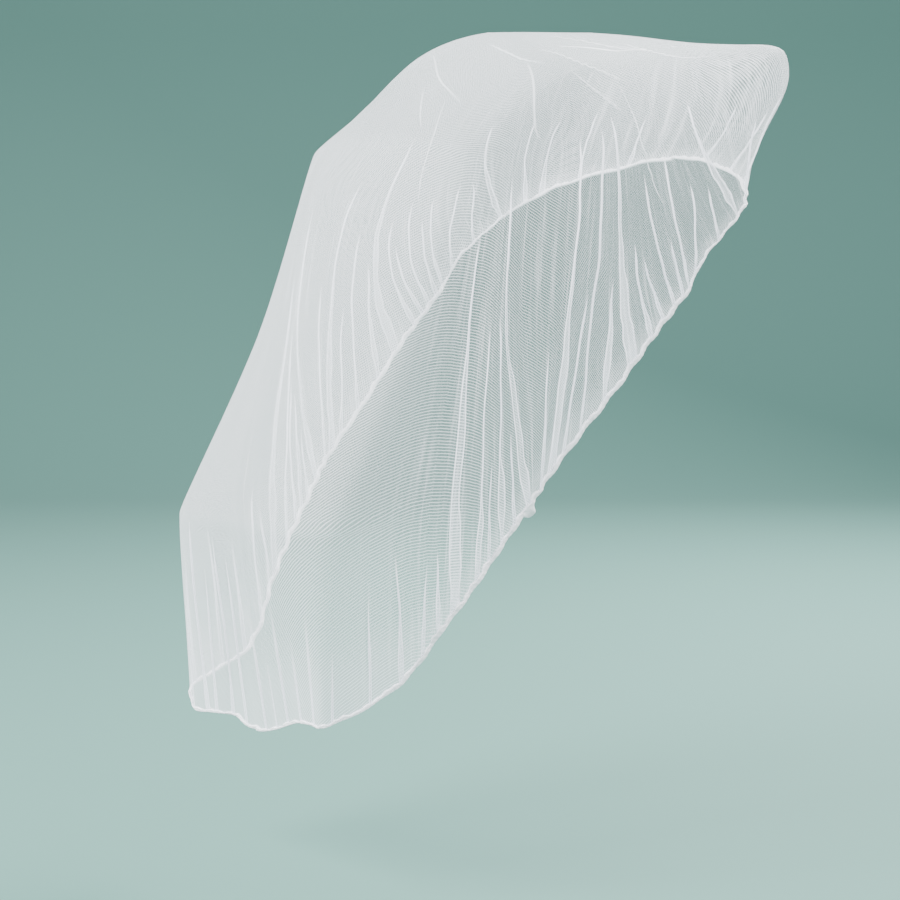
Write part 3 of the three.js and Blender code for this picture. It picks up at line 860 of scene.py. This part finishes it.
    def _half(self, side: Side, columns: tuple[np.ndarray, np.ndarray, np.ndarray],
              rows: np.ndarray) -> Half:
        """Points of one half, in mm.

        Args:
            side: Which half.
            columns: The columns' share, pleat and mark.
            rows: The rows' t.

        Returns:
            The half's points with their marks.
        """
        share, owner, mark = columns
        spot, half, fold, width = self._anchors(rows, side)
        edge = np.zeros((len(rows), 1))
        after = np.concatenate([edge, spot + self.edge * half], axis=1)
        before = np.concatenate([spot - self.edge * half, edge + 1.0], axis=1)
        plain = after[:, owner] + (before[:, owner] - after[:, owner]) * share
        own = np.minimum(owner, len(self.pleats) - 1)
        pleated = (mark >= 0)[None, :]
        section = np.array(self.section)[np.maximum(mark, 0)]
        opened = fold[:, own] * pleated
        across = section[:, 0] * (1.0 - opened) + section[:, 1] * opened
        s = np.where(pleated, spot[:, own], plain)
        place = np.where(pleated, spot[:, own] + across * half[:, own], plain)
        t = np.repeat(rows[:, None], len(share), axis=1)
        gap = self.layer_gap + (self.pressed_gap - self.layer_gap) * ease(4.76, 4.88, t)
        rise = section[:, 2] * gap * opened
        flat_s, flat_t, flat_place = s.ravel(), t.ravel(), place.ravel()
        normal = self.shape.frame(flat_s, flat_t, side)[0]
        points = self.shape.point(flat_place, flat_t, side)
        lift = rise.ravel() + billow(flat_place, flat_t, side) + self._ripple(flat_place, flat_t, side)
        points += normal * lift[:, None]
        inside = pleated & (np.abs(section[:, 1]) < 1.1)[None, :]
        folded = np.broadcast_to(section[:, 1], place.shape)
        turns = np.stack([folded, 0.5 * width[:, own], opened * inside], axis=-1)
        marks = self._raise_creases(points, normal, side)
        if side is Side.FAR:
            points[:, 0] *= -1.0
        shape = place.shape
        return Half(points.reshape(*shape, 3), place, turns, marks.reshape(CREASE_BANKS, *shape, 3))

    @staticmethod
    def _ripple(s: np.ndarray, t: np.ndarray, side: Side) -> np.ndarray:
        """Fine slack between the pleats.

        Args:
            s: Places round the half sheet.
            t: Places down it.
            side: Which half.

        Returns:
            Distance out of the smooth sheet, mm.
        """
        phase = 0.7 * side.value
        fine = np.sin(210 * s + 3.0 * np.sin(17 * s + phase)) \
            + 0.7 * np.sin(377 * s + 2.0 * np.sin(29 * s) + phase)
        return 0.45 * fine * ease(1.6, 3.4, t) * (1.0 - ease(4.7, 4.85, t)) * ease(0.1, 0.2, s)

    def _raise_creases(self, points: np.ndarray, normal: np.ndarray, side: Side) -> np.ndarray:
        """Draws the soft tension creases up out of the sheet.

        Args:
            points: The half's points, which it moves.
            normal: Their normals.
            side: Which half.

        Returns:
            For each bank and point: place across the nearest crease in widths, its strength, 0.
        """
        marks = np.zeros((CREASE_BANKS, len(points), 3))
        marks[:, :, 0] = 9.0
        for number, crease in enumerate(self.creases):
            if crease.side is not side:
                continue
            share = np.linspace(0.0, 1.0, 41)
            s = crease.begin[0] + (crease.end[0] - crease.begin[0]) * share
            t = crease.begin[1] + (crease.end[1] - crease.begin[1]) * share
            line = self.shape.point(s, t, side)
            gap = points[:, None, :] - line[None]
            near = np.argmin((gap ** 2).sum(axis=2), axis=1)
            along = unit(np.gradient(line, axis=0))[near]
            offset = points - line[near]
            across = (offset * np.cross(along, normal)).sum(axis=1)
            past = (offset * along).sum(axis=1)
            step = np.linalg.norm(line[1] - line[0])
            spot = np.clip((near + past / step) / (len(share) - 1), 0.0, 1.0)
            taper = np.sin(math.pi * spot) ** 0.6
            close = (np.linalg.norm(offset, axis=1) < self.grasp) & (np.abs(past) < 2.0 * step)
            points += normal * (crease.height * taper * close
                                * np.exp(-(across / (0.5 * crease.width)) ** 2))[:, None]
            bank = marks[number % CREASE_BANKS]
            wins = close & (np.abs(across) / crease.width < np.abs(bank[:, 0]))
            bank[wins, 0] = across[wins] / crease.width
            bank[wins, 1] = taper[wins]
        return marks

    def build(self, material: bpy.types.Material) -> bpy.types.Object:
        """Makes the sheet.

        Args:
            material: The netting.

        Returns:
            The sheet's object.
        """
        columns = self._columns()
        rows = self._rows()
        near = self._half(Side.NEAR, columns, rows)
        far = self._half(Side.FAR, columns, rows)
        grid = joined(near.points, far.points)
        grid[0, :, 0] = 0.0
        round_s = joined(near.place, -far.place)
        marks = joined(near.marks, far.marks, axis=2)
        count, total, last = grid.shape[1], grid.shape[0], len(columns[0]) - 1
        ids = np.arange(total * count).reshape(total, count)
        following = np.roll(ids, -1, axis=1)
        faces = np.stack([ids[:-1], ids[1:], following[1:], following[:-1]], axis=-1).reshape(-1, 4)
        maps = self._maps(grid, round_s, rows, columns[2], last)
        obj = make_object("net_sheet", grid.reshape(-1, 3), faces, maps, material)
        # slack is 0 at the front and the top and 1 lower down the sides; the netting raises its film
        # where it is 0, partly as painted light.
        slack = ease(0.11, 0.22, np.abs(round_s)) * ease(0.6, 2.4, rows)[:, None]
        hem = np.broadcast_to(self.hem_cover * ease(4.55, 4.9, rows)[:, None], slack.shape)
        for title, values in (("dense", hem), ("slack", slack)):
            layer = obj.data.attributes.new(title, "FLOAT", "POINT")
            layer.data.foreach_set("value", values.astype(np.float32).ravel())
        vectors = {f"crease_{bank}": marks[bank] for bank in range(CREASE_BANKS)}
        vectors["pleat"] = joined(near.turns, far.turns)
        for title, values in vectors.items():
            layer = obj.data.attributes.new(title, "FLOAT_VECTOR", "POINT")
            layer.data.foreach_set("vector", values.astype(np.float32).ravel())
        self._weld(obj)
        return obj

    @staticmethod
    def _weld(obj: bpy.types.Object) -> None:
        """Joins the points that fall together at the top.

        Args:
            obj: The sheet's object, which it changes.
        """
        work = bmesh.new()
        work.from_mesh(obj.data)
        top = [v for v in work.verts if abs(v.co.x) < 1e-5]
        bmesh.ops.remove_doubles(work, verts=top, dist=5e-5)
        bmesh.ops.dissolve_degenerate(work, edges=work.edges, dist=1e-6)
        work.to_mesh(obj.data)
        work.free()

    def _maps(self, grid: np.ndarray, round_s: np.ndarray, rows: np.ndarray, marks: np.ndarray,
              last: int) -> dict[str, np.ndarray]:
        """The two maps of the sheet: laid out flat, and along its hanging lines.

        Args:
            grid: The sheet's points.
            round_s: Their s, negative on the far side.
            rows: The rows' t.
            marks: The near half's marks, -1 outside pleats.
            last: Number of the last near column.

        Returns:
            UV map name to corner values in metres.
        """
        flat = FlatLayout(self.shape).place(round_s, rows)
        share = np.append(np.array(self.section)[:, 3], 0.0)[marks]
        shift = self.layer_shift * joined(share, share, axis=0)
        flat = flat + shift[None, :, None] * np.array([0.8, 0.6])
        down = np.linalg.norm(np.diff(grid, axis=0), axis=2)
        along = np.concatenate([np.cumsum(down[::-1], axis=0)[::-1], np.zeros((1, grid.shape[1]))])
        start = 40.0    # mm, so that the streaks don't begin at the middle of their pattern
        ribs = np.stack([round_s * HALF_HEM + start, along], axis=-1)
        out = {}
        for title, values in (("cloth", flat), ("ribs", ribs)):
            following = np.roll(values, -1, axis=1).copy()
            if title == "ribs":
                following[:, -1, 0] = start
                beside = np.abs(round_s[:, (last + 1) % grid.shape[1]])
                following[:, last, 0] = (2.0 - beside) * HALF_HEM + start
            corners = np.stack([values[:-1], values[1:], following[1:], following[:-1]], axis=2)
            out[title] = corners.reshape(-1, 2) * MM
        return out


@dataclass
class FlatLayout:
    """Lays the smooth sheet out flat, as near to its true lengths as it goes."""

    shape: HangingShape
    columns: int = 96
    rounds: int = 300
    smoothing: float = 0.05         # how far each round draws a point to the mean of its neighbours
    slack: Pair = (0.66, 0.84)      # from here to there the pull across fades to none
    # Heading of each line of the cloth before it is eased: place s, and degrees from the front.
    headings: tuple[Pair, ...] = ((0.0, 0.0), (0.13, 30.0), (0.25, 58.0), (0.40, 78.0), (0.60, 90.0),
                                  (0.75, 98.0), (0.88, 125.0), (0.93, 145.0), (1.0, 180.0))
    # Rows down and columns across to the neighbour, and the pull where short and where slack.
    springs: tuple[tuple[int, int, float, float], ...] = (
        (1, 0, 0.14, 0.14), (0, 1, 0.10, 0.08), (1, 1, 0.05, 0.04), (1, -1, 0.05, 0.04))

    def _coarse(self) -> tuple[np.ndarray, np.ndarray]:
        """Makes a coarse grid of the whole sheet.

        Returns:
            Its points, and t of its rows.
        """
        t = np.linspace(0.0, 5.0, 31)
        half = self.columns // 2
        grid_s, grid_t = np.meshgrid(np.linspace(0.0, 1.0, half + 1), t)
        parts = []
        for side in Side:
            points = self.shape.point(grid_s.ravel(), grid_t.ravel(), side).reshape(len(t), half + 1, 3)
            points[:, :, 0] *= side.value
            parts.append(points)
        return joined(*parts), t

    def _relax(self, grid: np.ndarray) -> np.ndarray:
        """Lays the coarse grid out flat.

        Args:
            grid: Its points.

        Returns:
            Their flat places, mm.
        """
        steps = np.linalg.norm(np.diff(grid, axis=0), axis=2)
        reach = np.concatenate([np.zeros((1, grid.shape[1])), np.cumsum(steps, axis=0)])
        s = 2.0 * np.arange(self.columns) / self.columns
        s = np.where(s > 1.0, s - 2.0, s)
        turn = np.radians(np.sign(s) * np.interp(np.abs(s), *np.array(self.headings).T))
        heading = np.stack([np.sin(turn), -np.cos(turn)], axis=-1)
        flat = grid[0, None, :, :2] + reach[:, :, None] * heading[None]
        firm = 1.0 - ease(*self.slack, np.abs(s))
        for _ in range(self.rounds):
            push = np.zeros_like(flat)
            for down, across, short, slack in self.springs:
                rows = len(flat) - down
                there = np.roll(flat, -across, axis=1)[down:]
                true = np.linalg.norm(np.roll(grid, -across, axis=1)[down:] - grid[:rows], axis=2)
                gap = there - flat[:rows]
                length = np.maximum(np.linalg.norm(gap, axis=2), 1e-6)
                pull = np.where(length < true, short, slack) * (length - true) / length
                if across:
                    pull = pull * firm
                move = gap * pull[:, :, None]
                push[:rows] += move
                push[down:] -= np.roll(move, across, axis=1)
            beside = np.roll(flat, 1, axis=1) + np.roll(flat, -1, axis=1)
            mean = (beside[1:-1] + flat[2:] + flat[:-2]) / 4.0
            push[1:-1] += self.smoothing * (mean - flat[1:-1])
            flat = flat + push
            flat[0] = (flat[0] + np.roll(flat[0][::-1], 1, axis=0)) / 2.0
        return flat

    def place(self, round_s: np.ndarray, rows: np.ndarray) -> np.ndarray:
        """Flat places of the sheet's points.

        Args:
            round_s: Their s, negative on the far side.
            rows: The rows' t.

        Returns:
            Array of the same shape with two numbers each, mm.
        """
        grid, t = self._coarse()
        flat = self._relax(grid)
        half = self.columns // 2
        column = np.where(round_s >= 0.0, round_s * half, self.columns + round_s * half)
        row = np.broadcast_to(np.interp(rows, t, np.arange(len(t)))[:, None], round_s.shape)
        c0, r0 = np.floor(column).astype(int), np.minimum(np.floor(row).astype(int), len(t) - 2)
        fc, fr = (column - c0)[..., None], (row - r0)[..., None]
        left, right = c0 % self.columns, (c0 + 1) % self.columns
        top = flat[r0, left] * (1 - fc) + flat[r0, right] * fc
        low = flat[r0 + 1, left] * (1 - fc) + flat[r0 + 1, right] * fc
        return top * (1 - fr) + low * fr


@dataclass
class EdgeBinding:
    """The gathered elastic tape folded over the sheet's edge, all round the hem."""

    shape: HangingShape
    step: float = 1.6               # mm between its columns
    slot: float = 0.8               # half the room for the sheet, mm
    wall: float = 0.75              # thickness of each side of the tape, mm
    lap: float = 4.2                # how far it reaches up over the edge, mm
    end: float = 1.2                # how far it reaches below the edge, mm
    pucker_step: float = 8.5        # length of one pucker, mm
    pucker: float = 1.25            # how far a pucker stands out, mm
    frill: Triple = (0.402, 0.0085, 9.0)   # a loose loop of tape: place s, half width in s, mm down
    # Round the hem: place s, share of the lap that it has there, and how far it scallops.
    looseness: tuple[Triple, ...] = (
        (0.0, 0.62, 0.5), (0.12, 0.62, 0.5), (0.17, 0.9, 0.8), (0.30, 1.0, 1.0), (0.62, 1.0, 1.2),
        (0.70, 1.0, 1.6), (0.735, 0.45, 4.2), (0.82, 0.4, 4.2), (0.86, 0.8, 1.6), (1.0, 0.9, 1.0),
    )
    # Unevenness of the puckers' spacing: height, mm to a radian, and start.
    drift: tuple[Triple, ...] = ((0.35, 31.0, 0.0), (0.3, 13.7, 1.0))
    # Its section: place across in walls past the slot, place up, share of the pucker, and which
    # side of the sheet.
    section: tuple[Quad, ...] = (
        (1.0, 1.0, 0.35, 1), (1.5, 0.76, 1.0, 1), (0.8, 0.52, 0.4, 1), (1.6, 0.28, 1.0, 1),
        (1.2, 0.0, 0.8, 1), (0.5, -0.22, 0.3, 1), (-0.5, -0.22, 0.3, -1), (-1.2, 0.0, 0.5, -1),
        (-1.3, 0.5, 0.7, -1), (-1.0, 1.0, 0.35, -1), (0.0, 1.0, 0.0, -1), (0.0, -0.06, 0.0, -1),
        (0.0, -0.06, 0.0, 1), (0.0, 1.0, 0.0, 1),
    )
    foot: float = 0.22              # how far down that section goes

    def _line(self) -> tuple[np.ndarray, np.ndarray, np.ndarray, np.ndarray, np.ndarray]:
        """Follows the hem.

        Returns:
            Points along it, outward normals, directions into the cloth, length so far, and s,
            negative on the far side.
        """
        half = int(HALF_HEM / self.step)
        s = np.linspace(0.0, 1.0, half + 1)
        parts, normals = [], []
        for side in Side:
            t = np.full_like(s, 5.0)
            normal, _ = self.shape.frame(s, t, side)
            points = self.shape.point(s, t, side) + normal * billow(s, t, side)[:, None]
            flip = np.array([side.value, 1.0, 1.0])
            parts.append(points * flip)
            normals.append(normal * flip)
        line, normal = joined(*parts, axis=0), joined(*normals, axis=0)
        tangent = unit(np.roll(line, -1, axis=0) - np.roll(line, 1, axis=0))
        up = unit(np.cross(normal, tangent))
        length = np.cumsum(np.linalg.norm(np.roll(line, -1, axis=0) - line, axis=1))
        return line, unit(np.cross(tangent, up)), up, length, joined(s, -s, axis=0)

    def build(self, material: bpy.types.Material) -> bpy.types.Object:
        """Makes the binding.

        Args:
            material: The tape.

        Returns:
            The binding's object.
        """
        line, normal, up, length, s = self._line()
        spots, laps, loose = np.array(self.looseness).T
        slim = np.interp(np.abs(s), spots, laps)
        lap, wall, end = self.lap * slim, self.wall * np.sqrt(slim), self.end * slim
        loose = np.interp(np.abs(s), spots, loose)
        drop = self.frill[2] * np.exp(-((s - self.frill[0]) / self.frill[1]) ** 4)
        phase = length / self.pucker_step
        for height, turn, start in self.drift:
            phase = phase + height * np.sin(length / turn + start)
        sway = 0.7 * np.sin(length / 5.3 + np.sin(length / 23.0)) + 0.5 * np.sin(length / 13.9 + 2.0)
        rings = []
        for across, height, share, sign in self.section:
            wave = np.abs(np.sin(math.pi * (phase + 0.42 * height))) - 0.45
            out = sign * self.slot + across * wall + sign * share * self.pucker * slim * wave
            if height > 0.0:
                rise = height * lap + 0.8 * np.sin(math.pi * phase) * (height == 1.0) + height * sway
            else:
                rise = height / self.foot * (end * (1.0 + 0.35 * share * wave * loose) + drop)
            rings.append(line + normal * out[:, None] + up * rise[:, None])
        grid = np.stack(rings, axis=1)
        count, corners = grid.shape[:2]
        ids = np.arange(count * corners).reshape(count, corners)
        after, beside = np.roll(ids, -1, axis=0), np.roll(ids, -1, axis=1)
        both = np.roll(after, -1, axis=1)
        faces = np.stack([ids, beside, both, after], axis=-1).reshape(-1, 4)
        u = np.repeat(length[:, None], corners, axis=1)
        v = np.tile(np.arange(corners) * 2.0, (count, 1))
        here = np.stack([u, v], axis=-1)
        step = np.stack([u + self.step, v], axis=-1)
        shift = np.array([0.0, 2.0])
        corners_uv = np.stack([here, here + shift, step + shift, step], axis=2)
        return make_object("edge_binding", grid.reshape(-1, 3), faces,
                           {"ribs": corners_uv.reshape(-1, 2) * MM}, material)


@dataclass(frozen=True)
class SoftLight:
    """A square light aimed at the net: m from it to the camera, to the left and up, W, and m wide."""

    name: str
    towards: float
    left: float
    height: float
    power: float
    size: float


@dataclass
class Studio:
    """The plain floor, soft lights and camera."""

    picture_px: float = 900.0
    focal_px: float = 1893.3        # focal length in pixels of that picture
    azimuth: float = 47.9           # degrees, as is the pitch down
    pitch: float = 5.94
    eye: Triple = (1845.4, -1386.9, 754.6)  # place of the camera, mm
    floor_z: float = 0.0            # the ground, mm
    sensor: float = 36.0
    # The floor, m: from behind the camera to where it bends up, the bend, its top, half its width.
    floor_near: float = -25.0
    reach: float = 3.2
    bend: float = 1.6
    rise: float = 7.0
    half_width: float = 14.0
    air_hex: str = "#EEF2F4"
    air_strength: float = 1.9
    soft_lights: tuple[SoftLight, ...] = (
        SoftLight("key_light", 1.0, 2.4, 1.9, 560.0, 1.6),
        SoftLight("fill_light", 2.2, -2.2, 0.6, 140.0, 2.0),
        SoftLight("rim_light", -1.9, -1.4, 1.3, 380.0, 1.4),
    )

    def camera(self) -> bpy.types.Object:
        """Makes the camera.

        Returns:
            The camera, set as the scene's.
        """
        data = bpy.data.cameras.new("camera")
        data.sensor_width = self.sensor
        data.lens = self.focal_px / self.picture_px * self.sensor
        data.clip_end = 50.0
        obj = bpy.data.objects.new("camera", data)
        obj.location = Vector((np.array(self.eye) - HOLD) * MM)
        obj.rotation_euler = (math.radians(90.0 - self.pitch), 0.0, math.radians(self.azimuth))
        bpy.context.scene.collection.objects.link(obj)
        bpy.context.scene.camera = obj
        return obj

    def floor(self) -> bpy.types.Object:
        """Makes the floor, which curves up behind.

        Returns:
            The floor's object.
        """
        ground = (self.floor_z - HOLD[2]) * MM
        profile = [(self.floor_near, 0.0), (self.reach, 0.0)]
        for k in range(1, 25):
            angle = math.pi / 2 * k / 24
            profile.append((self.reach + self.bend * math.sin(angle),
                            self.bend * (1.0 - math.cos(angle))))
        profile.append((self.reach + self.bend, self.rise))
        turn = math.radians(self.azimuth)
        ahead = np.array([-math.sin(turn), math.cos(turn)])
        right = np.array([math.cos(turn), math.sin(turn)])
        points, faces = [], []
        for away, height in profile:
            for across in (-self.half_width, self.half_width):
                spot = ahead * away + right * across
                points.append((spot[0], spot[1], height + ground))
        for k in range(len(profile) - 1):
            faces.append((2 * k, 2 * k + 1, 2 * k + 3, 2 * k + 2))
        mesh = bpy.data.meshes.new("studio_floor")
        mesh.from_pydata(points, [], faces)
        mesh.polygons.foreach_set("use_smooth", [True] * len(faces))
        mesh.materials.append(MattPaint().build())
        obj = bpy.data.objects.new("studio_floor", mesh)
        bpy.context.scene.collection.objects.link(obj)
        return obj

    def lights(self) -> None:
        """Adds a large soft key from the upper left, a fill, a rim light and the pale air."""
        turn = math.radians(self.azimuth)
        back = np.array([math.sin(turn), -math.cos(turn)])
        left = np.array([-math.cos(turn), -math.sin(turn)])
        for light in self.soft_lights:
            data = bpy.data.lights.new(light.name, "AREA")
            data.energy = light.power
            data.size = light.size
            obj = bpy.data.objects.new(light.name, data)
            spot = back * light.towards + left * light.left
            obj.location = (spot[0], spot[1], light.height)
            aim = Vector((0.0, 0.0, -0.4)) - obj.location
            obj.rotation_euler = aim.to_track_quat("-Z", "Y").to_euler()
            bpy.context.scene.collection.objects.link(obj)
        world = bpy.data.worlds.new("studio_air")
        world.use_nodes = True
        air = world.node_tree.nodes["Background"]
        air.inputs["Color"].default_value = srgb(self.air_hex)
        air.inputs["Strength"].default_value = self.air_strength
        bpy.context.scene.world = world


def main() -> None:
    """Builds the net and the studio round it, and reports each piece."""
    logging.basicConfig(level=logging.INFO, format="%(message)s")
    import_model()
    studio = Studio()
    studio.camera()
    studio.floor()
    studio.lights()
    shape = HangingShape()
    sheet = NetSheet(shape).build(KnittedNetting().build())
    binding = EdgeBinding(shape).build(ElasticTape().build())
    for piece, node, slot in ((sheet, "net", "netting"), (binding, "elastic_binding", "binding")):
        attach(piece, "root")
        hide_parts(node)
        LOG.info("%s: %d faces", piece.name, len(piece.data.polygons))
    # The flat cut is an oval: 1.08 m across the widest place, 1.61 m from front hem to back hem.
    bpy.context.scene.cycles.transparent_max_bounces = 64


if __name__ == "__main__":
    main()
